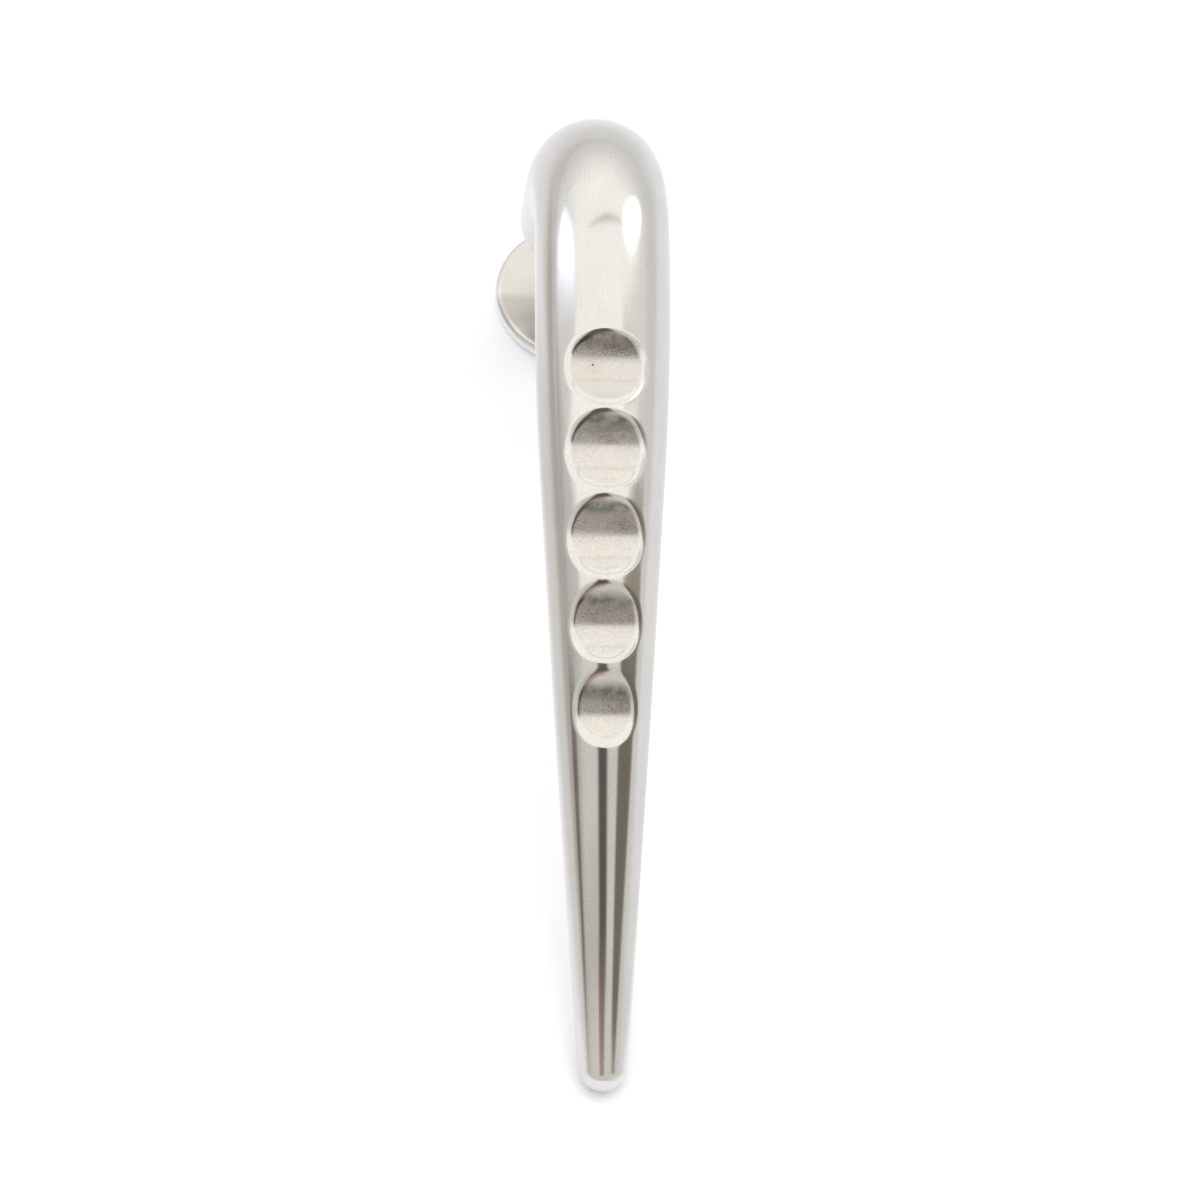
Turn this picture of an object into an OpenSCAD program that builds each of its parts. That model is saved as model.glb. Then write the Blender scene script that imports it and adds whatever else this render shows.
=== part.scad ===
// Labret ring: a heavy polished claw with a bent neck, worn through the lower lip,
// and the flat back disc whose post screws into the neck. All sizes are in millimetres.
// It lies as it would on a table: the disc flat, the claw arched over to its tip.

/* [Claw] */
// Length of the evenly bent claw, from the middle of the round tip to where the hook begins
claw_length = 46.6; // [44:0.2:49]
// Radius of the claw's gentle bend, measured at its middle line
claw_bend = 96; // [88:1:110]
// Radii of the bar at nine even steps, from the tip to the shoulder
bar_radii = [1.53, 2.05, 2.57, 3.08, 3.53, 4.04, 4.13, 4.07, 4.05];
// Radius of the small round along the shoulder's edge
shoulder_round = 0.5; // [0.2:0.1:0.8]

/* [Hook] */
// Tightest radius of the hook, measured at its middle line
hook_bend = 5.6; // [5.2:0.1:6.4]
// Angle between the tip's direction and the post's, all bends together
whole_turn = 126.7; // [122:0.1:130]
// Length over which the bend tightens into the hook
hook_ease_in = 8; // [7:0.5:9]
// Length over which the hook straightens into the neck
hook_ease_out = 6; // [5:0.5:7]
// Straight neck before the shoulder
neck_length = 1; // [0.6:0.1:2]
// Sideways turn of the hook out of the claw's own plane, bent in by hand
hook_swing = 6.1; // [0:0.1:8]

/* [Notches] */
// Scooped notches, each [distance from the tip, depth, radius of the cutter]
notches = [
    [41.5, 0.95, 3.0],
    [36.8, 0.91, 3.4],
    [31.8, 0.88, 3.7],
    [26.7, 0.76, 3.7],
    [21.7, 0.63, 4.0]
];
// Angle by which the row of notches sits round to the right of the claw's front
notch_turn = 3.8; // [0:0.1:6]

/* [Back disc] */
// Diameter of the disc behind the lip
disc_d = 9.5; // [8:0.1:10.5]
// Thickness of the disc
disc_t = 1.2; // [1:0.1:1.6]
// Radius of the disc's rounded rim
disc_round = 0.4; // [0.2:0.1:0.5]
// Diameter of the post, about 6 gauge
post_d = 4.1; // [3.2:0.1:4.4]
// Length of the post inside the neck
post_seat = 4.6; // [3:0.2:5]
// Clearance round the post and past its end
fit_gap = 0.1; // [0.05:0.05:0.2]

/* [Hidden] */
STEEL = [0.76, 0.75, 0.74];
DISC_STEEL = [0.80, 0.78, 0.74];
DIST = 0;
DEPTH = 1;
CUTTER = 2;
// Flat sides of the bar, steps along it, and the rings left out between two that are kept
bar_sides = 44;
step = 0.2;
claw_skip = 6;
hook_skip = 3;
tip_rings = 6;
shoulder_rings = 4;
round_fn = 96;
arc_steps = 8;
// Overshoot of the tools that cut, and half the length of the notch cutter
cut = 1;
cutter_half = 6;
// Lean of the tip towards the front, so that the claw's middle faces straight forward
tip_lean = 11.5;

// Rise of a smooth step, and the same step summed up from its start
function clamp01(t) = min(max(t, 0), 1);
function smooth(t) = let (u = clamp01(t)) u * u * (3 - 2 * u);
function smooth_sum(t) = let (u = clamp01(t)) u ^ 3 - u ^ 4 / 2;

// Length of the steady part of the hook that gives the whole turn
claw_turn = (claw_length + hook_ease_in / 2) / claw_bend;
hook_hold = (whole_turn * PI / 180 - claw_turn) * hook_bend - (hook_ease_in + hook_ease_out) / 2;
hook_end = claw_length + hook_ease_in + hook_hold;
bar_end = hook_end + hook_ease_out + neck_length;

// Angle turned at a distance s from the tip, in degrees
function turned(s) =
    let (
        entry = (s - claw_length) / hook_ease_in,
        rise = hook_ease_in * smooth_sum(entry),
        steady = min(max(s - claw_length - hook_ease_in, 0), hook_hold),
        leave = clamp01((s - hook_end) / hook_ease_out),
        fall = hook_ease_out * (leave - smooth_sum(leave)),
        gentle = min(s, claw_length) + hook_ease_in * clamp01(entry) - rise
    )
    180 / PI * (gentle / claw_bend + (rise + steady + fall) / hook_bend);

// Direction of the bar at s, and the two directions across it: to its right and to its front.
// Here X is right, Y runs up the claw and Z is out of its front.
function swing(s) = hook_swing * smooth((s - claw_length) / (hook_end - claw_length));
function lean(s) = tip_lean - turned(s);
function along(s) = [sin(lean(s)) * sin(swing(s)), cos(lean(s)), sin(lean(s)) * cos(swing(s))];
function right(s) = [cos(swing(s)), 0, -sin(swing(s))];
function front(s) = cross(right(s), along(s));

// Radius of the bar at s: a smooth curve through nine even steps
steps_in_bar = len(bar_radii) - 1;
function bar_step(i) =
    i < 0 ? 2 * bar_radii[0] - bar_radii[1] :
    i > steps_in_bar ? 2 * bar_radii[steps_in_bar] - bar_radii[steps_in_bar - 1] :
    bar_radii[i];
function bar_radius(s) =
    let (
        place = min(max(s / bar_end * steps_in_bar, 0), steps_in_bar),
        i = min(floor(place), steps_in_bar - 1),
        u = place - i
    )
    (bar_step(i - 1) * (1 - u) ^ 3
        + bar_step(i) * (3 * u ^ 3 - 6 * u ^ 2 + 4)
        + bar_step(i + 1) * (-3 * u ^ 3 + 3 * u ^ 2 + 3 * u + 1)
        + bar_step(i + 2) * u ^ 3) / 6;
// Angle by which the tapering surface leans from the middle line at s
function taper(s) = atan((bar_radius(s + step) - bar_radius(s - step)) / (2 * step));

// Middle line of the bar, summed up from short steps, and the point on it nearest to s
line_steps = round(bar_end / step);
line_step = bar_end / line_steps;
middle_line = [
    for (i = 0, p = [0, 0, 0]; i <= line_steps; p = p + line_step * along((i + 0.5) * line_step), i = i + 1) p
];
function middle(s) =
    let (place = s / line_step, i = min(floor(place), line_steps - 1), u = place - i)
    middle_line[i] * (1 - u) + middle_line[i + 1] * u;

// One ring of points round the bar at s, with radius r, moved along the bar by shift
function ring(s, r, shift = 0) = [
    for (k = [0 : bar_sides - 1])
        let (a = 360 * k / bar_sides)
        middle(s) + shift * along(s) + r * (cos(a) * right(s) + sin(a) * front(s))
];

// Stations of the rings between the round tip and the shoulder's edge
claw_steps = floor(claw_length / line_step);
last_ring = bar_end - shoulder_round;
stations = concat(
    [for (i = [0 : claw_skip : claw_steps - 1]) i * line_step],
    [for (i = [claw_steps : hook_skip : line_steps]) if (i * line_step < last_ring - 0.1) i * line_step]
);
tip_r = bar_radius(0);
bar_rings = concat(
    [for (k = [1 : tip_rings]) let (a = 90 * k / (tip_rings + 1)) ring(0, tip_r * sin(a), -tip_r * cos(a))],
    [for (s = stations) ring(s, bar_radius(s))],
    [
        for (k = [0 : shoulder_rings])
            let (a = 90 * k / shoulder_rings)
            ring(last_ring, bar_radius(last_ring) - shoulder_round * (1 - cos(a)), shoulder_round * sin(a))
    ]
);

// Directions of the row's frame, in the claw's frame: up the post, and across the table to the hook
up_post = -along(bar_end);
to_tip = -middle(bar_end);
flat_run = -(to_tip - (to_tip * up_post) * up_post);
table_y = flat_run / norm(flat_run);
table_x = cross(table_y, up_post);
function on_table(p) = let (q = p - middle(bar_end)) [q * table_x, q * table_y, q * up_post];

// The shoulder's height puts the tip on the table together with the disc
shoulder_z = tip_r - on_table([0, 0, 0]).z;
table_points = [for (points = bar_rings) for (p = points) on_table(p)];
low_x = min(-disc_d / 2, min([for (p = table_points) p.x]));
high_x = max(disc_d / 2, max([for (p = table_points) p.x]));
low_y = min([for (p = table_points) p.y]);
high_y = max(disc_d / 2, max([for (p = table_points) p.y]));
post_at = [-(low_x + high_x) / 2, -(low_y + high_y) / 2, 0];

// Puts what is drawn in the claw's frame on the table
module lay_on_table() {
    translate(post_at + [0, 0, shoulder_z])
        multmatrix([
            [table_x.x, table_x.y, table_x.z, -(middle(bar_end) * table_x)],
            [table_y.x, table_y.y, table_y.z, -(middle(bar_end) * table_y)],
            [up_post.x, up_post.y, up_post.z, -(middle(bar_end) * up_post)],
            [0, 0, 0, 1]
        ])
        children();
}

// The bent, tapered bar, swept ring by ring from its tip to its shoulder
module bar() {
    n = bar_sides;
    count = len(bar_rings);
    tip = -tip_r * along(0);
    points = concat([tip], [for (ring_points = bar_rings) each ring_points]);
    tip_faces = [for (k = [0 : n - 1]) [0, 1 + k, 1 + (k + 1) % n]];
    side_faces = [
        for (j = [0 : count - 2])
            for (k = [0 : n - 1])
                let (a = 1 + j * n + k, b = 1 + j * n + (k + 1) % n)
                each [[a, a + n, b], [b, a + n, b + n]]
    ];
    end_face = [for (k = [0 : n - 1]) 1 + (count - 1) * n + k];
    polyhedron(points, concat(tip_faces, side_faces, [end_face]));
}

// One scooped notch: a round cutter lying across the claw, sunk square to its tapering surface
module notch(row) {
    s = row[DIST];
    outward = cos(notch_turn) * front(s) + sin(notch_turn) * right(s);
    square = cos(taper(s)) * outward - sin(taper(s)) * along(s);
    down_slope = cos(taper(s)) * along(s) + sin(taper(s)) * outward;
    across = cross(down_slope, square);
    centre = middle(s) + bar_radius(s) * outward + (row[CUTTER] - row[DEPTH]) * square;
    multmatrix([
        [down_slope.x, square.x, across.x, centre.x],
        [down_slope.y, square.y, across.y, centre.y],
        [down_slope.z, square.z, across.z, centre.z],
        [0, 0, 0, 1]
    ])
    cylinder(h = 2 * cutter_half, r = row[CUTTER], center = true, $fn = round_fn);
}

// The blind hole in the neck that takes the post
module seat() {
    translate(post_at + [0, 0, shoulder_z - cut])
        cylinder(h = cut + post_seat + fit_gap, d = post_d + 2 * fit_gap, $fn = round_fn);
}

module claw() {
    color(STEEL)
    difference() {
        lay_on_table() bar();
        lay_on_table() for (row = notches) notch(row);
        seat();
    }
}

// Half outline of the disc and its post, with a quarter round at each edge of the rim
disc_outline = concat(
    [[0, 0]],
    [
        for (k = [0 : arc_steps])
            let (a = -90 + 90 * k / arc_steps)
            [disc_d / 2 - disc_round + disc_round * cos(a), disc_round + disc_round * sin(a)]
    ],
    [
        for (k = [0 : arc_steps])
            let (a = 90 * k / arc_steps)
            [disc_d / 2 - disc_round + disc_round * cos(a), disc_t - disc_round + disc_round * sin(a)]
    ],
    [
        [post_d / 2, disc_t],
        [post_d / 2, shoulder_z + post_seat - disc_round],
        [post_d / 2 - disc_round, shoulder_z + post_seat],
        [0, shoulder_z + post_seat]
    ]
);

module back_disc() {
    color(DISC_STEEL)
    translate(post_at)
        rotate_extrude($fn = round_fn)
            polygon(disc_outline);
}

claw();
back_disc();
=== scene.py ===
# %% [markdown]
# A labret is a jewel for the lower lip: a disc behind the lip, a post through it, and here a heavy
# steel claw that hooks over and hangs down in front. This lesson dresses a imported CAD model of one.
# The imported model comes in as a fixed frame. It holds the real sizes and places, so everything
# below is worked out from it and from the few sizes that the claw is bent and ground to.

# %% Load the frame and keep its box
from collections import namedtuple
from math import asin, atan, cos, degrees, pi, radians, sin, sqrt, tan

import bmesh
import bpy
from mathutils import Matrix, Vector


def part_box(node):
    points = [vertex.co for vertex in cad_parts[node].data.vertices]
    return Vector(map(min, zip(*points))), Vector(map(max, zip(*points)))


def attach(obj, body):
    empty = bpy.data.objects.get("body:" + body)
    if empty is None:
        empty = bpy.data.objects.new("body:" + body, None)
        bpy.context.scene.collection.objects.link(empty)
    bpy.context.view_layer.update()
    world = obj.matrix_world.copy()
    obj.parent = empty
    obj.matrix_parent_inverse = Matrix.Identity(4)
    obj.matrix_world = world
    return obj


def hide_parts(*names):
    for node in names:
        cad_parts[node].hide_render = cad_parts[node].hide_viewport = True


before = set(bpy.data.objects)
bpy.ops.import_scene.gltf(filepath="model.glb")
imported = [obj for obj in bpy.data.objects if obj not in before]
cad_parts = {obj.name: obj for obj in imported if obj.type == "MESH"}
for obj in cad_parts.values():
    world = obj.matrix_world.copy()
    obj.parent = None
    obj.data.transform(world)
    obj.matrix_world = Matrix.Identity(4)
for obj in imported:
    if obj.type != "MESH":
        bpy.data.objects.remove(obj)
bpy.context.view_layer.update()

MM = 0.001

# %% [markdown]
# The real claw starts as a round steel bar. A smith would draw it out to a blunt tip, bend it a
# little along its whole length, and then bend its thick end sharply back into a hook.
# One could push such a form about by hand, but a rule is easier to follow: how far the bar has
# turned, and how thick it is, at each distance from the tip. These sizes are the ones that the
# frame was made with, in millimetres and degrees.

# %% The bar's bends, from the tip to the shoulder
CLAW_LENGTH = 46.6
CLAW_BEND = 96.0
HOOK_BEND = 5.6
WHOLE_TURN = 126.7
EASE_IN = 8.0
EASE_OUT = 6.0
NECK_LENGTH = 1.0
HOOK_SWING = 6.1
TIP_LEAN = 11.5


def clamp01(t):
    return min(max(t, 0.0), 1.0)


def smooth(t):
    """Rises from 0 to 1 with no kink at either end."""
    u = clamp01(t)
    return u * u * (3 - 2 * u)


def smooth_sum(t):
    """The smooth rise summed up from its start."""
    u = clamp01(t)
    return u ** 3 - u ** 4 / 2


claw_turn = (CLAW_LENGTH + EASE_IN / 2) / CLAW_BEND
hook_hold = (radians(WHOLE_TURN) - claw_turn) * HOOK_BEND - (EASE_IN + EASE_OUT) / 2
hook_end = CLAW_LENGTH + EASE_IN + hook_hold
bar_end = hook_end + EASE_OUT + NECK_LENGTH
print("bar length in mm:", round(bar_end, 2))

# %% How far the bar has turned at a distance s from the tip
def turned(s):
    """Angle in radians: a gentle bend, and the hook's, which eases in, holds and eases out."""
    entry = (s - CLAW_LENGTH) / EASE_IN
    rise = EASE_IN * smooth_sum(entry)
    steady = min(max(s - CLAW_LENGTH - EASE_IN, 0.0), hook_hold)
    leave = clamp01((s - hook_end) / EASE_OUT)
    fall = EASE_OUT * (leave - smooth_sum(leave))
    gentle = min(s, CLAW_LENGTH) + EASE_IN * clamp01(entry) - rise
    return gentle / CLAW_BEND + (rise + steady + fall) / HOOK_BEND


def swing(s):
    """Angle in radians by which the hook has swung out to one side."""
    return radians(HOOK_SWING) * smooth((s - CLAW_LENGTH) / (hook_end - CLAW_LENGTH))


def along(s):
    """Direction of the bar at s. X is right, Y runs up the claw and Z is out of its front."""
    lean = radians(TIP_LEAN) - turned(s)
    return Vector((sin(lean) * sin(swing(s)), cos(lean), sin(lean) * cos(swing(s))))


def right(s):
    """Direction square to the bar at s, to its right."""
    return Vector((cos(swing(s)), 0.0, -sin(swing(s))))


print("turned at the shoulder, in degrees:", round(degrees(turned(bar_end)), 1))

# %% [markdown]
# The middle line comes from walking along the bar in short steps, each in the direction that the
# bar has there. The thickness is a smooth curve that nine sizes lead: each place blends its four
# nearest ones, as Blender's own NURBS curves do, so the polished surface has no step in it.

# %% The middle line and the thickness
LINE_STEP = 0.02
line_steps = round(bar_end / LINE_STEP)
line_step = bar_end / line_steps
middle_line = [Vector((0.0, 0.0, 0.0))]
for i in range(line_steps):
    middle_line.append(middle_line[-1] + line_step * along((i + 0.5) * line_step))

BAR_RADII = [1.53, 2.05, 2.57, 3.08, 3.53, 4.04, 4.13, 4.07, 4.05]
ghost_before = 2 * BAR_RADII[0] - BAR_RADII[1]
ghost_after = 2 * BAR_RADII[-1] - BAR_RADII[-2]
padded_radii = [ghost_before, *BAR_RADII, ghost_after]
radius_steps = len(BAR_RADII) - 1
# Keeps a place at the very end of the bar within the last step
JUST_UNDER = 0.000001


def middle(s):
    """Point of the middle line at s."""
    place = min(max(s / line_step, 0.0), line_steps - JUST_UNDER)
    i = int(place)
    return middle_line[i].lerp(middle_line[i + 1], place - i)


def bar_radius(s):
    """Radius of the bar at s."""
    place = min(max(s / bar_end * radius_steps, 0.0), radius_steps - JUST_UNDER)
    i = int(place)
    u = place - i
    a, b, c, d = padded_radii[i : i + 4]
    b_weight = 3 * u ** 3 - 6 * u ** 2 + 4
    c_weight = -3 * u ** 3 + 3 * u ** 2 + 3 * u + 1
    return (a * (1 - u) ** 3 + b * b_weight + c * c_weight + d * u ** 3) / 6


thickest = max(bar_radius(i * line_step) for i in range(line_steps))
print("thickest in mm:", round(2 * thickest, 2))

# %% [markdown]
# Taken off, a labret lies on its disc and on the claw's tip, and the claw arches over between
# them. The frame says where the disc stands and how high its post goes. The matrix below turns
# the claw from its own directions to the table's and sets its shoulder on the post, in metres.

# %% Lay the claw on the table
POST_SEAT = 4.6
disc_low, disc_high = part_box("back_disc")
post_middle = (disc_low + disc_high) / 2
shoulder_z = disc_high.z - POST_SEAT * MM

up_post = -along(bar_end)
shoulder = middle(bar_end)
table_y = (shoulder - shoulder.dot(up_post) * up_post).normalized()
table_x = table_y.cross(up_post)
turn_to_table = Matrix((table_x, table_y, up_post))
shoulder_at = Matrix.Translation((post_middle.x, post_middle.y, shoulder_z))
turned_at_shoulder = shoulder_at @ turn_to_table.to_4x4()
lay_on_table = turned_at_shoulder @ Matrix.Scale(MM, 4) @ Matrix.Translation(-shoulder)
tip_at = lay_on_table @ Vector((0.0, 0.0, 0.0))
print("tip over the table in mm:", round(tip_at.z / MM - bar_radius(0), 3))

# %% [markdown]
# The photograph looks down on the claw from steeply above, nearly square to its middle. A long
# lens from a short way off keeps the sides nearly parallel. The camera is set from the claw's own
# directions, so it stays right if the claw is bent another way. Its places are in millimetres.

# %% The camera
CAMERA_AWAY = 421.7
TIP_LEFT_OF_CAMERA = -0.15
TIP_BELOW_CAMERA = 28.1
# The picture is this wide at this distance from the lens
FRAME_WIDTH = 72.0
FRAME_AT = 420.0
NEAREST_SEEN = 10.0
FARTHEST_SEEN = 20000.0

view_right = turn_to_table @ Vector((1.0, 0.0, 0.0))
view_up = turn_to_table @ Vector((0.0, 1.0, 0.0))
view_back = turn_to_table @ Vector((0.0, 0.0, 1.0))

lens = bpy.data.cameras.new("camera")
lens.sensor_width = 36.0
lens.lens = lens.sensor_width * FRAME_AT / FRAME_WIDTH
lens.clip_start = NEAREST_SEEN * MM
lens.clip_end = FARTHEST_SEEN * MM
camera = bpy.data.objects.new("camera", lens)
bpy.context.scene.collection.objects.link(camera)
bpy.context.scene.camera = camera
from_tip = TIP_LEFT_OF_CAMERA * view_right + TIP_BELOW_CAMERA * view_up + CAMERA_AWAY * view_back
camera_axes = Matrix((view_right, view_up, view_back)).transposed()
camera.matrix_world = Matrix.Translation(tip_at + from_tip * MM) @ camera_axes.to_4x4()
print("camera height over the horizon, in degrees:", round(degrees(asin(view_back.z)), 1))

# %% [markdown]
# Materials are node trees, and a tree written node by node is hard to read. This small class
# wraps one socket. An expression such as 1 - mask * 0.5 then adds its Math nodes by itself, and
# one method adds any other node: its settings first, then its sockets' numbers or links.

# %% A socket that Python can calculate with
class Wire:
    """The output of a node, which can be added, multiplied, mixed and fed to other nodes."""

    def __init__(self, tree, socket=None):
        self.tree = tree
        self.socket = socket

    def node(self, kind, settings=None, sockets=None, out=0):
        """Adds a node of this kind and returns the wire out of it."""
        made = self.tree.nodes.new(kind)
        for name, value in (settings or {}).items():
            setattr(made, name, value)
        for place, value in (sockets or {}).items():
            if isinstance(value, Wire):
                self.tree.links.new(value.socket, made.inputs[place])
            else:
                made.inputs[place].default_value = value
        return Wire(self.tree, made.outputs[out])

    def math(self, operation, *values):
        return self.node("ShaderNodeMath", {"operation": operation}, dict(enumerate(values)))

    def __add__(self, other):
        return self.math("ADD", self, other)

    def __radd__(self, other):
        return self.math("ADD", other, self)

    def __sub__(self, other):
        return self.math("SUBTRACT", self, other)

    def __rsub__(self, other):
        return self.math("SUBTRACT", other, self)

    def __mul__(self, other):
        return self.math("MULTIPLY", self, other)

    def __rmul__(self, other):
        return self.math("MULTIPLY", other, self)

    def __truediv__(self, other):
        return self.math("DIVIDE", self, other)

    def __pow__(self, other):
        return self.math("POWER", self, other)

    def __abs__(self):
        return self.math("ABSOLUTE", self)

    def between(self, low, high, start=0.0, end=1.0):
        """Goes smoothly from start to end as this value goes from low to high."""
        sockets = {0: self, 1: low, 2: high, 3: start, 4: end}
        return self.node("ShaderNodeMapRange", {"interpolation_type": "SMOOTHSTEP"}, sockets)

    def mix(self, first, second):
        """A colour: first where this value is 0 and second where it is 1."""
        # On a Mix node the colours are the inputs 6 and 7, and the mixed colour is the output 2
        sockets = {0: self, 6: colour(first), 7: colour(second)}
        return self.node("ShaderNodeMix", {"data_type": "RGBA"}, sockets, 2)

    def vector(self, operation, other, out="Vector"):
        """Vector maths on this vector and another one."""
        return self.node("ShaderNodeVectorMath", {"operation": operation}, {0: self, 1: other}, out)

    def dot(self, direction):
        """How far this vector points in a direction."""
        return self.vector("DOT_PRODUCT", direction, "Value")


def colour(value):
    """A colour socket takes four numbers, and a link goes in as it is."""
    return value if isinstance(value, Wire) else (*value[:3], 1.0)


# %% [markdown]
# Mirror-polished steel has hardly a colour of its own: what one sees on it is the room. The room
# could be a picture wrapped round the scene, but soft patches of light and shade are enough, and
# each can be moved. A direction is told from the camera: across is how far to its right, and rise
# how far above it. Each patch is a shape with straight soft edges, and its mask is worked out edge
# by edge: 1 inside the edge and 0 outside, all multiplied together.

# %% Masks for patches of light
UPWARDS = Vector((0.0, 0.0, 1.0))
# The ceiling's light grows upwards, and by this share of it towards the left as well
BRIGHTER_LEFT = 0.10


def direction_wires(wire):
    """A ray's direction: across and rise in degrees, and how far it points to the ceiling."""
    direction = wire.node("ShaderNodeTexCoord", out="Generated")
    across = wire.math("ARCTAN2", direction.dot(view_right), direction.dot(view_back)) * (180 / pi)
    rise = wire.math("ARCSINE", direction.dot(view_up)) * (180 / pi)
    return across, rise, direction.dot(UPWARDS - BRIGHTER_LEFT * view_right)


def inside(place, corners, soft):
    """1 within the corners and 0 outside them, with edges softened by so many degrees."""
    points = [Vector(corner) for corner in corners]
    centre = sum(points, Vector((0.0, 0.0))) / len(points)
    mask = 1.0
    for start, end in zip(points, points[1:] + points[:1]):
        inward = (end - start).orthogonal().normalized()
        if inward.dot(centre - start) < 0:
            inward = -inward
        edge = inward.dot(start)
        mask = place.dot((*inward, 0.0)).between(edge - soft, edge + soft) * mask
    return mask


def inside_oval(across, rise, middle_at, radii, slope, soft):
    """1 within a sloping oval and 0 outside it, softened by a share of its radius."""
    right_of = across - middle_at[0]
    u = right_of / radii[0]
    v = (rise - middle_at[1] - right_of * slope) / radii[1]
    return ((u * u + v * v) ** 0.5).between(1 - soft, 1 + soft, 1.0, 0.0)


# %% [markdown]
# This is a pale room with a creamy ceiling over a duller wall. The side walls are grey, each with
# a lighter strip over it. Lower down come a dark column with a brown foot in the middle, an olive
# patch with a paler upper edge on the right, and dull bands with one brown patch on the left. A
# large bluish light on the left, in its own soft glow, and a warm lamp on the right make the two
# long highlights. Each patch covers the ones before it, so their order matters.

# %% The patches of light and shade
WALL = (0.86, 0.855, 0.845)
CEILING = (1.32, 1.285, 1.235)
CEILING_FULL_AT = 0.72
# Each patch has its softness in degrees, its light, and its corners as across and rise
ROOM_PATCHES = [
    # the lower wall, and the left and the right side wall
    (6.5, (0.84, 0.815, 0.755), [(-130, -75), (-130, 2), (130, 2), (130, -75)]),
    (6.0, (0.74, 0.72, 0.70), [(-130, -22), (-130, 30), (-84, 22), (-66, 14), (-49, 10), (-45, -8)]),
    (6.0, (0.87, 0.85, 0.81), [(130, -22), (130, 30), (72, 20), (63, 10), (54, -8)]),
    # the lighter strips, right and left
    (3.5, (0.97, 0.955, 0.91), [(40, 17), (38, 29), (84, 25), (84, 13), (62, 14)]),
    (3.5, (0.90, 0.88, 0.85), [(-84, 15), (-82, 24), (-47, 28), (-54, 21), (-60, 13)]),
    # the dull bands and the brown patch on the left
    (6.0, (0.62, 0.595, 0.555), [(-115, -26), (-115, 0), (-60, 0), (-53, -26)]),
    (4.5, (0.68, 0.655, 0.59), [(-62, -24), (-62, -16), (-12, -16), (-12, -28)]),
    (5.0, (0.58, 0.555, 0.53), [(-112, -24), (-112, 17), (-84, 15), (-76, 3), (-73, -22)]),
    (4.0, (0.24, 0.19, 0.165), [(-88, -3), (-67, -3), (-66, -21), (-81, -23)]),
    # the olive patch and its upper edge
    (3.5, (0.23, 0.20, 0.16), [(43, 5), (84, 5), (80, -8), (58, -30), (40, -29), (37, -14)]),
    (3.5, (0.40, 0.36, 0.30), [(51, 8), (66, 9.5), (84, 4), (86, -1), (50, 0)]),
    # the foot, its darker top, and the column
    (3.0, (0.60, 0.48, 0.41), [(-15, -24), (8, -24), (8, -41), (-15, -41)]),
    (3.0, (0.37, 0.265, 0.215), [(-15, -24), (8, -24), (8, -33), (-15, -33)]),
    (4.0, (0.145, 0.12, 0.11), [(-10.5, 3.8), (10.3, 3.8), (14.4, -26.6), (-12, -26.6)]),
    # the bluish light's glow, and the light
    (7.0, (1.02, 1.04, 1.12), [(-96, 19), (-54, 29), (-60, 40), (-92, 41)]),
    (4.5, (2.2, 2.3, 2.6), [(-89, 21.5), (-55, 29.5), (-62, 36), (-85, 36.5)]),
]
RIGHT_LAMP = {"middle_at": (66.5, 40.5), "radii": (20.8, 9.2), "slope": -0.07, "soft": 0.2}
RIGHT_LAMP_LIGHT = (2.5, 2.45, 2.2)
print("patches in the room:", len(ROOM_PATCHES))

# %% [markdown]
# One thin arched line shows on the thick end of the claw, where the ceiling bends. Straight edges
# can't make it, but the distance from a parabola can: where that is small, the line is. A little
# more distance is added towards both ends, so the line gets thinner there and then fades out.

# %% The arched line, in degrees
ARCH_LIGHT = (0.82, 0.78, 0.68)
ARCH_TOP = 50.6
ARCH_BEND = 0.0045
ARCH_MIDDLE = 8.0
ARCH_HALF = 1.1
# How many times that half width it takes until nothing is left of the line
ARCH_EDGE = 2.6
ARCH_THINS = 0.035
ARCH_FADES = (30.0, 48.0)


def arched_line(across, rise):
    """1 on the arched line and 0 beside it."""
    from_middle = abs(across - ARCH_MIDDLE)
    off_line = abs(rise + from_middle ** 2 * ARCH_BEND - ARCH_TOP) + from_middle * ARCH_THINS
    on_line = off_line.between(ARCH_HALF, ARCH_EDGE * ARCH_HALF, 1.0, 0.0)
    return on_line * from_middle.between(*ARCH_FADES, 1.0, 0.0)


# %% [markdown]
# All of it goes into the world's own node tree. The camera would see the patches behind the
# object too, so its rays, which the Light Path node tells from the steel's, get plain white.

# %% Light the room
SEEN_BY_CAMERA = (1.0, 1.0, 1.0)


def light_the_room():
    world = bpy.data.worlds.new("room")
    bpy.context.scene.world = world
    world.use_nodes = True
    tree = world.node_tree
    tree.nodes.clear()
    start = Wire(tree)
    across, rise, steep = direction_wires(start)
    place = start.node("ShaderNodeCombineXYZ", sockets={0: across, 1: rise})
    light = steep.between(0.0, CEILING_FULL_AT).mix(WALL, CEILING)
    for soft, shade, corners in ROOM_PATCHES:
        light = inside(place, corners, soft).mix(light, shade)
    light = inside_oval(across, rise, **RIGHT_LAMP).mix(light, RIGHT_LAMP_LIGHT)
    light = arched_line(across, rise).mix(light, ARCH_LIGHT)
    from_camera = start.node("ShaderNodeLightPath", out="Is Camera Ray")
    light = from_camera.mix(light, SEEN_BY_CAMERA)
    room = start.node("ShaderNodeBackground", sockets={"Color": light})
    output = tree.nodes.new("ShaderNodeOutputWorld")
    tree.links.new(room.socket, output.inputs["Surface"])
    return len(tree.nodes)


print("nodes in the room's light:", light_the_room())

# %% [markdown]
# Blender's usual view bends bright colours towards grey, as film does. In a product picture white
# paper stays white, so this scene uses the plain view instead.

# %% Show the colours as they are
view = bpy.context.scene.view_settings
view.view_transform = "Standard"
view.look = "None"
print("view:", view.view_transform)

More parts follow.
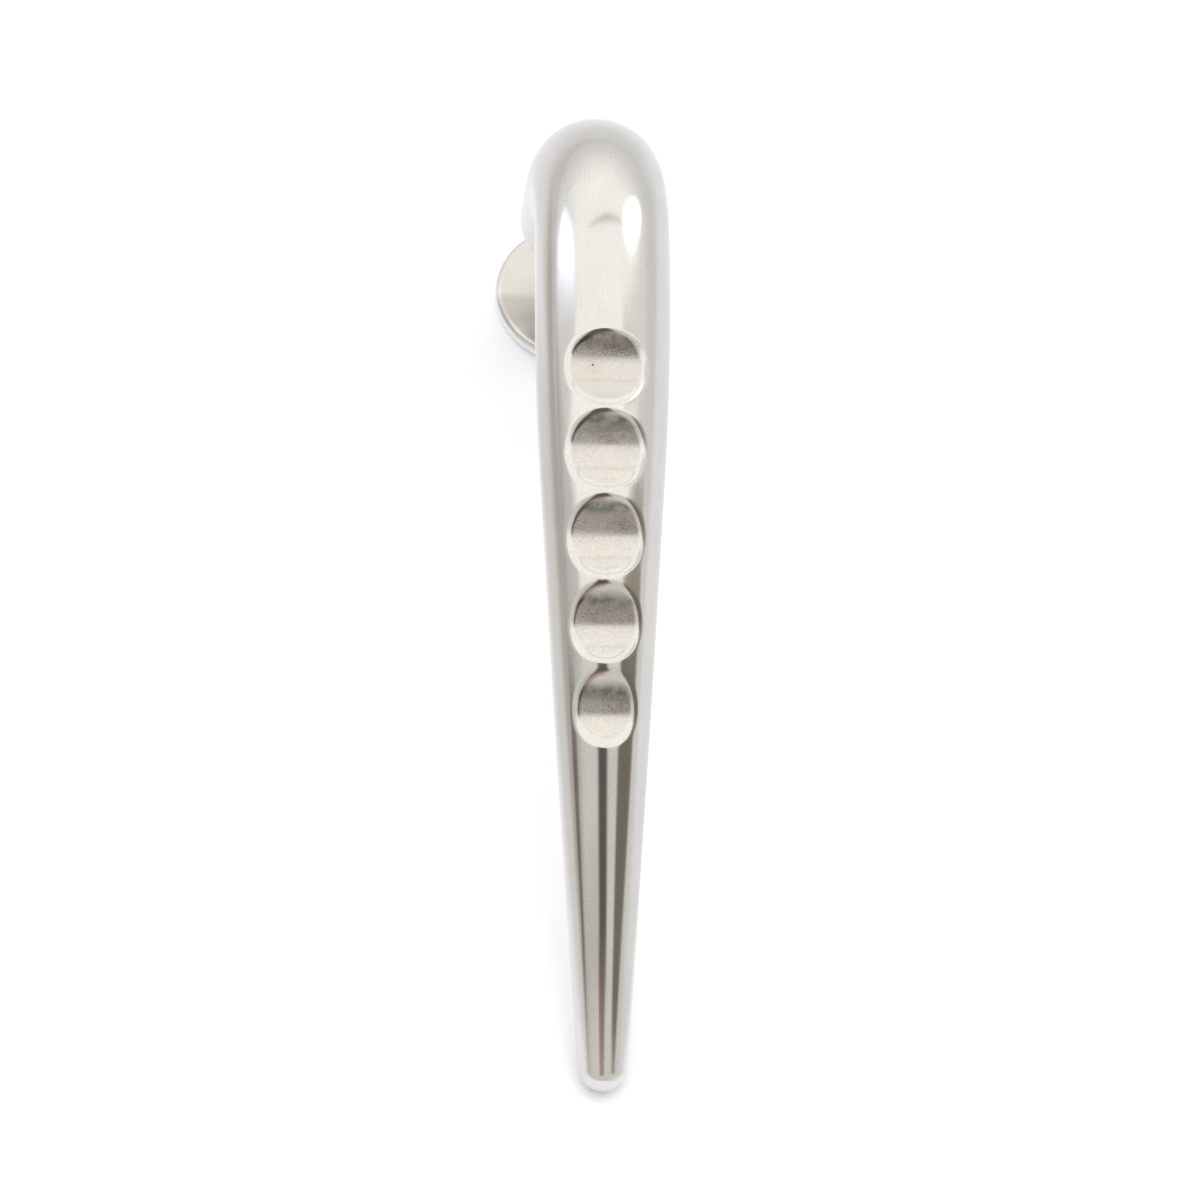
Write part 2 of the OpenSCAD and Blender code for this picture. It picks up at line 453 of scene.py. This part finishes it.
# %% [markdown]
# Every material here ends in one Principled shader. The first helper makes the material, hands its
# maker the first wire, and plugs what the maker returns into the shader's sockets. The second
# turns a finished bmesh into an object. The piece's place goes into its mesh and the object stays
# at the origin, so that a pattern on Object coordinates can't slide.

# %% Helpers for materials and pieces
def material(name, make):
    """A new material: make(wire) returns the sockets of its Principled shader."""
    made = bpy.data.materials.new(name)
    made.use_nodes = True
    tree = made.node_tree
    tree.nodes.clear()
    start = Wire(tree)
    shader = start.node("ShaderNodeBsdfPrincipled", sockets=make(start))
    output = tree.nodes.new("ShaderNodeOutputMaterial")
    tree.links.new(shader.socket, output.inputs["Surface"])
    print(name, "has", len(tree.nodes), "nodes")
    return made


def add_piece(name, bm, place=None):
    """Turns a finished bmesh into a smooth-shaded object that stands at the origin."""
    mesh = bpy.data.meshes.new(name)
    bm.to_mesh(mesh)
    bm.free()
    if place is not None:
        mesh.transform(place)
    mesh.shade_smooth()
    piece = bpy.data.objects.new(name, mesh)
    bpy.context.scene.collection.objects.link(piece)
    print(name, "has", sum(len(face.vertices) - 2 for face in mesh.polygons), "triangles")
    return piece


# %% [markdown]
# The floor is a plain sheet of pale paper, wide enough for every view. Its white also lights the
# claw's underside.

# %% The floor
FLOOR_SIZE = 3.0
PAPER_WHITE = (0.88, 0.90, 0.94, 1.0)


def add_sheet(name, height):
    """A flat sheet as wide as the floor, at a height over the table."""
    bm = bmesh.new()
    bmesh.ops.create_grid(bm, x_segments=1, y_segments=1, size=FLOOR_SIZE / 2)
    bmesh.ops.translate(bm, verts=bm.verts[:], vec=(0.0, 0.0, height))
    return add_piece(name, bm)


def paper(wire):
    return {"Base Color": PAPER_WHITE, "Roughness": 0.9, "Specular IOR Level": 0.2}


floor = add_sheet("floor", 0.0)
floor.data.materials.append(material("floor_paper", paper))

# %% [markdown]
# Product pictures are lit so strongly that the paper turns plain white. A broad lamp overhead does
# that here. It stays out of the reflections, so that the steel still shows only the room.

# %% The lamp over the paper
LAMP_SIZE = 2.0
LAMP_HEIGHT = 1.5
LAMP_WATTS = 12.5

lamp_light = bpy.data.lights.new("overhead_lamp", "AREA")
lamp_light.shape = "DISK"
lamp_light.size = LAMP_SIZE
lamp_light.energy = LAMP_WATTS
lamp = bpy.data.objects.new("overhead_lamp", lamp_light)
lamp.location = (0.0, 0.0, LAMP_HEIGHT)
lamp.visible_glossy = False
bpy.context.scene.collection.objects.link(lamp)
print("watts overhead:", lamp_light.energy)

# %% [markdown]
# Round polished metal on white paper would lose its edges, because it mirrors the same white. On a
# real table the paper's light falls off to the sides. So the steel gets a paper of its own to
# mirror: a second sheet just over the first, which shows in reflections only. It is whitest along
# the claw, greyer to the right of it, to the left, past the hook and far off, and darkest far to
# the left.

# %% Tones and places of the mirrored paper, with places in millimetres from the middle
MIRRORED_HEIGHT = 0.04
NEAR_PAPER = (0.87, 0.885, 0.935)
PAPER_TO_THE_SIDE = (0.71, 0.72, 0.75)
PAPER_TO_THE_LEFT = (0.64, 0.635, 0.64)
FAR_PAPER = (0.63, 0.635, 0.645)
FAR_LEFT_PAPER = (0.415, 0.39, 0.37)
# Each pair is where a change starts and where it is complete
RIGHT_SIDE = (3.5, 9.0)
PAST_THE_HOOK = (26.0, 36.0)
LEFT_SIDE = (3.0, 20.0)
LEFT_WEAKENS = (18.0, 34.0)
FAR_LEFT = (22.0, 85.0)
FAR_LEFT_WEAKENS = (40.0, 120.0)
WEAKENED = 0.35
FAR_UP = (50.0, 100.0)
FAR_RIGHT = (60.0, 350.0)
BELOW_THE_TIP = (-35.0, -15.0)
RIGHT_BELOW_THE_TIP = (4.0, 20.0)
BELOW_THE_TIP_SHARE = 0.9


def fade(distance_wire, places, start=0.0, end=1.0):
    """A smooth change between two places that are given in millimetres."""
    return distance_wire.between(places[0] * MM, places[1] * MM, start, end)


# %% The paper as the steel mirrors it
def mirrored_paper(wire):
    place = wire.node("ShaderNodeTexCoord", out="Object")
    to_right = place.dot((1.0, 0.0, 0.0))
    to_left = place.dot((-1.0, 0.0, 0.0))
    upwards = place.dot((0.0, 1.0, 0.0))
    beside = 1 - fade(to_right, RIGHT_SIDE, 1.0, 0.0) * fade(upwards, PAST_THE_HOOK, 1.0, 0.0)
    light = beside.mix(NEAR_PAPER, PAPER_TO_THE_SIDE)
    left = fade(to_left, LEFT_SIDE) * fade(upwards, LEFT_WEAKENS, 1.0, WEAKENED)
    light = left.mix(light, PAPER_TO_THE_LEFT)
    below_tip = fade(upwards, BELOW_THE_TIP, 1.0, 0.0) * fade(to_right, RIGHT_BELOW_THE_TIP)
    near = (1 - fade(upwards, FAR_UP)) * (1 - fade(to_right, FAR_RIGHT))
    far = 1 - near * (1 - below_tip * BELOW_THE_TIP_SHARE)
    light = far.mix(light, FAR_PAPER)
    far_left = fade(to_left, FAR_LEFT) * fade(upwards, FAR_LEFT_WEAKENS, 1.0, WEAKENED)
    light = far_left.mix(light, FAR_LEFT_PAPER)
    return {"Base Color": light, "Roughness": 1.0, "Specular IOR Level": 0.0}


mirrored = add_sheet("mirrored_paper", MIRRORED_HEIGHT * MM)
mirrored.data.materials.append(material("mirrored_paper", mirrored_paper))
mirrored.visible_camera = False
mirrored.visible_diffuse = False
mirrored.visible_shadow = False

# %% [markdown]
# The claw could be a curve with a round bevel, but the notches need rows and columns of faces
# where they will be cut. So a flat sheet of small squares is rolled round the bar: each row of
# the sheet becomes one ring. The columns stand closer together at the front, and the rows closer
# together along the notches, because that is where the surface has its detail.

# %% One ring of the bar
SIDES = 168
FRONT_CROWDING = 0.45


def ring_place(s, radius, shift=0.0):
    """Matrix that puts the flat unit circle on the bar at s. Its X points to the front."""
    ahead = along(s)
    side = right(s)
    out = side.cross(ahead)
    centre = middle(s) + shift * ahead
    columns = (out * radius, side * radius, ahead, centre)
    return Matrix([[column[row] for column in columns] for row in range(3)] + [[0, 0, 0, 1]])


def crowded(column):
    """Angle of a column of the sheet round the bar: 0 is the front, where the columns crowd."""
    angle = 2 * pi * column / SIDES - pi
    return angle - FRONT_CROWDING * sin(angle)


# %% The rings from the tip to the shoulder, and on into the seat of the post
SHOULDER_ROUND = 0.5
FIT_GAP = 0.1
POST_RADIUS = 2.05
seat_radius = POST_RADIUS + FIT_GAP
last_ring = bar_end - SHOULDER_ROUND
TIP_RINGS = 16
SHOULDER_RINGS = 8
# Each stretch of the bar has its two ends and the gap between its rings
STRETCHES = [(0.0, 17.0, 0.3), (17.0, 44.5, 0.086), (44.5, last_ring, 0.2)]
FACE_RADII = (3.0, seat_radius + 0.08, seat_radius + 0.03)
SEAT_DEPTHS = (0.05, 0.12, 1.5, 3.0, POST_SEAT + FIT_GAP)


def even(start, stop, gap):
    """Even steps from start up to stop, stop left out."""
    count = round((stop - start) / gap)
    return [start + (stop - start) * i / count for i in range(count)]


def list_rings():
    """Gives each ring's distance from the tip, its radius and its shift along the bar."""
    tip = bar_radius(0)
    for i in range(1, TIP_RINGS):
        a = radians(90 * i / TIP_RINGS)
        yield 0.0, tip * sin(a), -tip * cos(a)
    for stretch in STRETCHES:
        for s in even(*stretch):
            yield s, bar_radius(s), 0.0
    wide = bar_radius(last_ring)
    for i in range(SHOULDER_RINGS + 1):
        a = radians(90 * i / SHOULDER_RINGS)
        yield last_ring, wide - SHOULDER_ROUND * (1 - cos(a)), SHOULDER_ROUND * sin(a)
    for radius in FACE_RADII:
        yield last_ring, radius, SHOULDER_ROUND
    for depth in SEAT_DEPTHS:
        yield last_ring, seat_radius, SHOULDER_ROUND - depth


rings = list(list_rings())
print("rings:", len(rings), "with", SIDES, "points each")

# %% [markdown]
# While the sheet is rolled up, each of its points also notes where it is on the straight bar. The
# steel reads that note later, so that its scratches follow the bend. Two more layers wait for the
# notches: how far a point belongs to a floor, and how far it lies above the dark band painted there.

# %% Roll the sheet round the bar
bm = bmesh.new()
straight_layer = bm.verts.layers.float_vector.new("straight_place")
floor_layer = bm.verts.layers.float.new("notch_floor")
dark_band_layer = bm.verts.layers.float.new("above_dark_band")
bmesh.ops.create_grid(bm, x_segments=SIDES, y_segments=len(rings) - 1, size=0.5)
places = [ring_place(*ring) for ring in rings]
for v in bm.verts:
    row = round((v.co.y + 0.5) * (len(rings) - 1))
    angle = crowded(round((v.co.x + 0.5) * SIDES))
    s, radius, shift = rings[row]
    v[straight_layer] = Vector((radius * cos(angle), radius * sin(angle), s + shift))
    v.co = places[row] @ Vector((cos(angle), sin(angle), 0.0))
print("points on the sheet:", len(bm.verts))

# %% Close the seam, the tip and the end of the seat
# Points closer together than this are merged, in millimetres
SEAM_GAP = 0.00001

bmesh.ops.remove_doubles(bm, verts=bm.verts[:], dist=SEAM_GAP)
open_edges = [edge for edge in bm.edges if edge.is_boundary]
tip_edge = [edge for edge in open_edges if edge.verts[0].co.y < 0]
seat_edge = [edge for edge in open_edges if edge.verts[0].co.y > 0]
tip_face = bmesh.ops.contextual_create(bm, geom=tip_edge)["faces"]
tip_point = bmesh.ops.poke(bm, faces=tip_face)["verts"][0]
tip_point.co = -bar_radius(0) * along(0)
tip_point[straight_layer] = Vector((0.0, 0.0, -bar_radius(0)))
bmesh.ops.contextual_create(bm, geom=seat_edge)
bmesh.ops.recalc_face_normals(bm, faces=bm.faces[:])
print("open edges:", sum(not edge.is_manifold for edge in bm.edges))
print("volume in mm3:", round(bm.calc_volume(), 1))

# %% [markdown]
# The five notches were ground with a round wheel held across the claw. A Boolean would cut them,
# but its edges come out sharp and ragged, and real ones have been polished over. Here each point
# under the wheel is pressed straight down to it instead. Where the bar and the wheel meet, the
# two heights are blended, which gives the small round rim, and the surface's own tilt is blended
# with them, so that the mirror finish stays exact between the points.

# %% The wheels that cut the notches, in millimetres
# Each has its distance from the tip, its depth, its radius and its floor's lean in degrees
NOTCHES = [
    (41.5, 0.82, 3.5, 1.7),
    (36.7, 0.81, 3.7, -0.9),
    (31.68, 0.82, 3.7, -1.5),
    (26.7, 0.76, 3.7, -2.5),
    (21.7, 0.63, 4.0, -2.0),
]
NOTCH_TURN = 3.8
TAPER_STEP = 0.2

Wheel = namedtuple("Wheel", "centre up_claw across square radius half_length lean")


def set_wheel(s, depth, radius, lean):
    """The wheel's middle, and its directions: up the claw, across it and square to its surface."""
    side = right(s)
    ahead = along(s)
    turn = radians(NOTCH_TURN)
    outward = cos(turn) * side.cross(ahead) + sin(turn) * side
    taper = atan((bar_radius(s + TAPER_STEP) - bar_radius(s - TAPER_STEP)) / (2 * TAPER_STEP))
    square = cos(taper) * outward - sin(taper) * ahead
    up_claw = cos(taper) * ahead + sin(taper) * outward
    across = up_claw.cross(square)
    centre = middle(s) + bar_radius(s) * outward + (radius - depth) * square
    half_length = sqrt(depth * (2 * radius - depth))
    return Wheel(centre, up_claw, across, square, radius, half_length, tan(radians(lean)))


wheels = [set_wheel(*notch) for notch in NOTCHES]
print("lengths of the notches in mm:", [round(2 * wheel.half_length, 2) for wheel in wheels])

# %% How far a wheel presses a point
RIM_BLEND = 0.24
WHEEL_CROWN = 90.0
# Share of its radius up to which a wheel reaches to either side
WHEEL_REACH = 0.98


def press(point, normal, wheel):
    """Presses a point of the bar down to the wheel. Returns it, its tilt and how far it is floor."""
    offset = point - wheel.centre
    u = offset.dot(wheel.up_claw)
    w = offset.dot(wheel.across)
    bar = offset.dot(wheel.square)
    if abs(u) >= wheel.radius * WHEEL_REACH:
        return point, normal, 0.0
    arc = sqrt(wheel.radius * wheel.radius - u * u)
    share_of_half = (u / wheel.half_length) ** 2
    floor_height = w * w / (2 * WHEEL_CROWN) - arc + wheel.lean * u * (share_of_half - 1)
    if bar < floor_height - RIM_BLEND:
        return point, normal, 0.0
    near = max(RIM_BLEND - abs(bar - floor_height), 0.0) / RIM_BLEND
    height = min(bar, floor_height) - near * near * RIM_BLEND / 4
    share = 1 - near / 2 if bar > floor_height else near / 2
    up = normal.dot(wheel.square)
    bar_slopes = (-normal.dot(wheel.up_claw) / up, -normal.dot(wheel.across) / up)
    floor_slopes = (u / arc + wheel.lean * (3 * share_of_half - 1), w / WHEEL_CROWN)
    tilt_u, tilt_w = [b * (1 - share) + f * share for b, f in zip(bar_slopes, floor_slopes)]
    tilted = wheel.square - tilt_u * wheel.up_claw - tilt_w * wheel.across
    return point + (height - bar) * wheel.square, tilted.normalized(), share


# %% Press the notches into the bar
# How far up each floor the painted dark band lies: 0 is its middle and 1 its upper end
DARK_BAND_AT = (0.82, 0.77, 0.74, 0.57, 0.46)
# A wheel touches only points that face it at least so much, as the cosine of the angle
FACING_WHEEL = 0.2

bm.normal_update()
bm.verts.index_update()
polished_tilt = {}
for v in bm.verts:
    point, tilt, floored = v.co.copy(), v.normal.copy(), 0.0
    for wheel, dark_band_at in zip(wheels, DARK_BAND_AT):
        if tilt.dot(wheel.square) <= FACING_WHEEL:
            continue
        point, tilt, share = press(point, tilt, wheel)
        if share > floored:
            floored = share
            up_the_floor = (point - wheel.centre).dot(wheel.up_claw) / wheel.half_length
            v[dark_band_layer] = up_the_floor - dark_band_at
    if floored > 0:
        v.co = point
        v[floor_layer] = floored
        polished_tilt[v.index] = turn_to_table @ tilt
print("points pressed:", len(polished_tilt))

# %% The claw as a piece of the scene
claw = add_piece("claw_polished", bm, lay_on_table)
# A tilt of zero length leaves a corner's own shading alone
loose = Vector((0.0, 0.0, 0.0))
corner_tilts = [polished_tilt.get(corner.vertex_index, loose) for corner in claw.data.loops]
claw.data.normals_split_custom_set(corner_tilts)
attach(claw, "root")
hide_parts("claw")

# %% [markdown]
# The back disc is turned on a lathe, in one with its post. So it is drawn as half an outline,
# its corners are rounded with a bevel, and the outline is spun once round the post. The disc's
# back lies flat on the table, and its rim is rounded so that it can't cut the gum.

# %% Half the outline of the disc and its post, in millimetres
DISC_ROUND = 0.4
DISC_THICK = 1.2
POST_CHAMFER = 0.4
POST_FILLET = 0.15
disc_radius = (disc_high.x - disc_low.x) / 2 / MM
post_top = disc_high.z / MM


def round_corners(bm, picked, size, segments):
    bmesh.ops.bevel(
        bm, geom=picked, offset=size, segments=segments, profile=0.5, affect="VERTICES", material=-1
    )


bm = bmesh.new()
outline = [
    (0.0, 0.0),
    (disc_radius, 0.0),
    (disc_radius, DISC_THICK),
    (POST_RADIUS, DISC_THICK),
    (POST_RADIUS, post_top),
    (0.0, post_top),
]
corners = [bm.verts.new((x, 0.0, z)) for x, z in outline]
for first, second in zip(corners, corners[1:]):
    bm.edges.new((first, second))
lower_rim, upper_rim, post_foot, post_end = corners[1:5]
round_corners(bm, [post_end], POST_CHAMFER, 1)
round_corners(bm, [post_foot], POST_FILLET, 4)
round_corners(bm, [lower_rim, upper_rim], DISC_ROUND, 10)
print("points in the outline:", len(bm.verts))

# %% Spin the outline round the post
SPIN_STEPS = 144
POLE_GAP = 0.0001

bmesh.ops.spin(
    bm,
    geom=bm.verts[:] + bm.edges[:],
    cent=(0, 0, 0),
    axis=(0, 0, 1),
    dvec=(0, 0, 0),
    angle=2 * pi,
    steps=SPIN_STEPS,
    use_merge=True,
)
bmesh.ops.remove_doubles(bm, verts=bm.verts[:], dist=POLE_GAP)
bmesh.ops.recalc_face_normals(bm, faces=bm.faces[:])
print("open edges:", sum(not edge.is_manifold for edge in bm.edges))
stand_at = Matrix.Translation((post_middle.x, post_middle.y, 0.0)) @ Matrix.Scale(MM, 4)
disc = add_piece("disc_turned", bm, stand_at)
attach(disc, "root")
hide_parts("back_disc")

# %% [markdown]
# Years of wear leave a few deeper scratches on polished steel, fine hairlines that run along it,
# and here one brown speck in the upper notch. A painted image could hold them, but a mark worked
# out as a line or a dot on the straight bar stays sharp at any size and bends with the bar.

# %% Scratches on the claw, in millimetres on the straight bar
# Each has its two ends, its width and how dark it is
SCRATCHES = [
    ((3.41, -2.28, 51.71), (3.58, -1.99, 51.95), 0.070, 0.16),
    ((3.62, -1.93, 52.10), (3.70, -1.77, 52.25), 0.060, 0.12),
    ((1.56, -3.76, 57.40), (2.06, -3.52, 55.70), 0.020, 0.3),
    ((2.06, -3.52, 55.70), (3.05, -2.71, 55.02), 0.020, 0.3),
    ((4.06, 0.20, 53.10), (4.07, 0.45, 53.24), 0.020, 0.4),
    ((3.84, -1.00, 40.09), (3.60, 1.69, 40.14), 0.030, 0.25),
    ((3.82, -1.01, 39.69), (3.59, 1.68, 39.74), 0.030, 0.25),
    ((2.82, -1.91, 29.76), (3.40, 0.25, 29.71), 0.030, 0.25),
    ((3.40, 0.25, 29.71), (2.54, 2.27, 29.79), 0.030, 0.25),
]
# A scratch is full up to the first share of its width and gone at the second
FULL_SHARE = 0.4
GONE_SHARE = 1.4


def distance(place, target):
    return place.vector("DISTANCE", target, "Value")


def scratch(place, start, end, width):
    """1 on the straight scratch from start to end, and 0 beside it."""
    run = Vector(end) - Vector(start)
    offset = place.vector("SUBTRACT", start)
    share = offset.node("ShaderNodeClamp", sockets={0: offset.dot(run / run.length_squared)})
    nearest = share.node("ShaderNodeVectorMath", {"operation": "SCALE"}, {0: run, "Scale": share})
    return distance(offset, nearest).between(width * FULL_SHARE, width * GONE_SHARE, 1.0, 0.0)


# %% Fine hairlines along the bar
HAIRLINE_STRETCH = (9.0, 9.0, 0.35)
HAIRLINE_EDGE = (0.006, 0.016)
PATCH_SCALE = 0.35
PATCH_EDGE = (0.48, 0.62)


def noise(place, scale, detail):
    """A cloudy pattern of values round 0.5. A larger scale makes it finer."""
    sockets = {"Vector": place, "Scale": scale, "Detail": detail}
    return place.node("ShaderNodeTexNoise", sockets=sockets)


def hairlines(straight):
    """1 on fine lines here and there: where a noise drawn out along the bar passes its middle."""
    waves = noise(straight.vector("MULTIPLY", HAIRLINE_STRETCH), 1.0, 1.0)
    patches = noise(straight, PATCH_SCALE, 1.0).between(*PATCH_EDGE)
    return abs(waves - 0.5).between(*HAIRLINE_EDGE, 1.0, 0.0) * patches


# %% All the wear, and the brown speck
HAIRLINE_DARK = 0.14
SPECK_AT = (3.99, -0.54, 41.73)
SPECK_RADIUS = 0.09
STAIN_RADIUS = 0.9
STAIN_SHARE = 0.3
STAIN_PATCHES = (0.35, 0.65)


def wear(straight):
    """How far the hairlines and scratches darken each point."""
    worn = hairlines(straight) * HAIRLINE_DARK
    for start, end, width, dark in SCRATCHES:
        worn = worn + scratch(straight, start, end, width) * dark
    return worn


def brown_speck(straight, cloud):
    """The speck, and the faint cloudy stain round it."""
    from_speck = distance(straight, SPECK_AT)
    stain = from_speck.between(SPECK_RADIUS, STAIN_RADIUS, STAIN_SHARE, 0.0)
    speck = from_speck.between(SPECK_RADIUS / 2, SPECK_RADIUS, 1.0, 0.0)
    return speck, stain * cloud.between(*STAIN_PATCHES)


# %% [markdown]
# The upper half of each floor is painted dark grey, and further down a fainter grey line is
# painted across it. A dark shade painted by height would lie level. The layer that was noted while
# pressing follows each floor, so the dark band sits where its own notch holds it, and a noise makes
# it patchy.

# %% The painted dark band and line in the notches
# How far a point has to be floor before the dark band can lie on it
DARK_BAND_FROM = (0.5, 0.8)
# Lengths on a floor, as shares of half of it
DARK_BAND_SPREAD = 0.37
LINE_BELOW_DARK_BAND = 0.56
LINE_SPREAD = 0.12


def attribute(wire, name, out="Fac"):
    """What a layer of the mesh notes at each point."""
    return wire.node("ShaderNodeAttribute", {"attribute_name": name}, out=out)


def dark_band_and_line(wire, pressed, floored):
    """1 on the dark band painted in each floor, and 1 on the fainter line below it."""
    above_dark_band = attribute(wire, "above_dark_band")
    dark_band = pressed.between(*DARK_BAND_FROM) * abs(above_dark_band).between(0.0, DARK_BAND_SPREAD, 1.0, 0.0)
    line = floored * abs(above_dark_band + LINE_BELOW_DARK_BAND).between(0.0, LINE_SPREAD, 1.0, 0.0)
    return dark_band, line


# %% [markdown]
# Surgical steel is polished with finer and finer paste until it is a mirror. A faint cloudiness
# stays, so its tones lie close together and the roughness does most of the work. The floors keep
# the wheel's fine marks and are satin. One flat colour would look like plastic here, because it
# is these small changes that make the eye read a real polished surface.

# %% Tones of the claw's steel
CLOUDY_STEEL = ((0.66, 0.655, 0.645), (0.695, 0.69, 0.68))
LOWER_FLOORS = (0.70, 0.68, 0.63)
UPPER_FLOORS = (0.65, 0.63, 0.585)
MOTTLE_TONE = (0.61, 0.595, 0.57)
LINE_GREY = (0.42, 0.41, 0.40)
# Painted dark grey for the band in the upper half of each floor
DARK_BAND_GREY = (0.185, 0.184, 0.188)
WORN_GREY = (0.25, 0.24, 0.23)
SPECK_BROWN = (0.30, 0.19, 0.11)

# %% Patterns of the claw's steel
# Scale and detail of each noise, on Object coordinates in metres
CLOUD = (420.0, 4.0)
BAND_NOISE = (1500.0, 4.0)
MOTTLE = (9000.0, 2.0)
GRAIN = (40000.0, 0.0)
CLOUD_EDGE = (0.3, 0.7)
MOTTLE_EDGE = (0.35, 0.65)
FLOOR_FROM = (0.75, 1.0)
# How far up the straight bar the floors turn from the lower to the upper tone
FLOORS_CHANGE = (34.5, 40.5)
MOTTLE_ON_BAR = 0.5
MORE_MOTTLE_ON_FLOORS = 0.3
LINE_SHARE = 0.25
# The noise's two values, and how much of the painted dark band shows at each
BAND_BY_NOISE = (0.38, 0.60, 0.62, 0.95)
SATIN_EDGE = (0.73, 0.85)
COARSER_IN_SATIN = 0.3
BAR_ROUGH = 0.10
CLOUD_ROUGH = 0.04
FLOOR_ROUGH = 0.03
SATIN_ROUGH = 0.30
WORN_ROUGH = 0.25
SPECK_ROUGH = 0.4

# %% The claw's steel
def claw_steel(wire):
    place = wire.node("ShaderNodeTexCoord", out="Object")
    straight = attribute(wire, "straight_place", "Vector")
    pressed = attribute(wire, "notch_floor")
    floored = pressed.between(*FLOOR_FROM)
    dark_band, line = dark_band_and_line(wire, pressed, floored)
    cloud = noise(place, *CLOUD)
    mottle = noise(place, *MOTTLE)
    fine = noise(place, *GRAIN) + mottle * COARSER_IN_SATIN + cloud * COARSER_IN_SATIN
    satin = fine.between(*SATIN_EDGE)
    worn = wear(straight)
    speck, stain = brown_speck(straight, cloud)

    shade = cloud.between(*CLOUD_EDGE).mix(*CLOUDY_STEEL)
    up_the_bar = straight.dot((0.0, 0.0, 1.0)).between(*FLOORS_CHANGE)
    shade = floored.mix(shade, up_the_bar.mix(LOWER_FLOORS, UPPER_FLOORS))
    mottled = mottle.between(*MOTTLE_EDGE) * (floored * MORE_MOTTLE_ON_FLOORS + MOTTLE_ON_BAR)
    shade = mottled.mix(shade, MOTTLE_TONE)
    # A fainter grey line is painted across each floor below the dark band
    shade = (line * LINE_SHARE).mix(shade, LINE_GREY)
    # Painted dark band: the upper half of each floor is painted dark grey, made patchy by a noise
    shade = (dark_band * noise(place, *BAND_NOISE).between(*BAND_BY_NOISE)).mix(shade, DARK_BAND_GREY)
    shade = worn.mix(shade, WORN_GREY)
    shade = (stain + speck).mix(shade, SPECK_BROWN)

    rough = BAR_ROUGH + cloud * CLOUD_ROUGH + floored * (FLOOR_ROUGH + satin * SATIN_ROUGH)
    rough = rough + worn * WORN_ROUGH + speck * SPECK_ROUGH
    return {"Base Color": shade, "Metallic": 1.0, "Roughness": rough}


claw.data.materials.append(material("claw_steel_mirror", claw_steel))

# %% [markdown]
# The disc is the same steel, but wear has left it warmer, cloudier and less sharp a mirror than
# the claw. Its lower wall is painted pale, a painted reflection of the white paper beside it. A
# darker band is painted across its top on the side that faces the tip: painted shade, for the
# claw's dark underside mirrored there. Both could come from an image, but a point's height and its
# distance from the post already say where they are.

# %% Tones of the disc's steel, with places in millimetres
DISC_CLOUD = (700.0, 4.0)
DISC_STEEL = ((0.63, 0.615, 0.58), (0.67, 0.66, 0.625))
# Painted reflection: the lower wall's pale tone stands for the white paper mirrored in it
PAINTED_WALL_REFLECTION = (0.90, 0.90, 0.895)
# Painted shade: the band's tone stands for the claw's dark underside mirrored on the disc
PAINTED_SHADE_TONE = (0.53, 0.52, 0.48)
WALL_ENDS = (0.7, 1.0)
PAINTED_SHADE_STARTS = (0.0, 0.7)
PAINTED_SHADE_ENDS = (1.9, 2.9)
DISC_ENDS = (1.3, 1.6)
DISC_ROUGH = 0.22
DISC_CLOUD_ROUGH = 0.16
WALL_ROUGH = 0.12


def disc_steel(wire):
    place = wire.node("ShaderNodeTexCoord", out="Object")
    height = place.dot((0.0, 0.0, 1.0))
    towards_tip = post_middle.y - place.dot((0.0, 1.0, 0.0))
    cloud = noise(place, *DISC_CLOUD)
    wall = fade(height, WALL_ENDS, 1.0, 0.0)
    on_disc = fade(height, DISC_ENDS, 1.0, 0.0)
    painted_shade = fade(towards_tip, PAINTED_SHADE_STARTS) * fade(towards_tip, PAINTED_SHADE_ENDS, 1.0, 0.0)
    shade = cloud.between(*CLOUD_EDGE).mix(*DISC_STEEL)
    # Painted shade: a darker band across the top on the tip's side, for the claw's underside mirrored
    # there
    shade = (painted_shade * on_disc).mix(shade, PAINTED_SHADE_TONE)
    # Painted reflection: the lower wall painted pale, as the white paper beside it
    shade = wall.mix(shade, PAINTED_WALL_REFLECTION)
    rough = DISC_ROUGH + cloud * DISC_CLOUD_ROUGH + wall * WALL_ROUGH
    return {"Base Color": shade, "Metallic": 1.0, "Roughness": rough}


disc.data.materials.append(material("disc_steel_worn_painted_light", disc_steel))
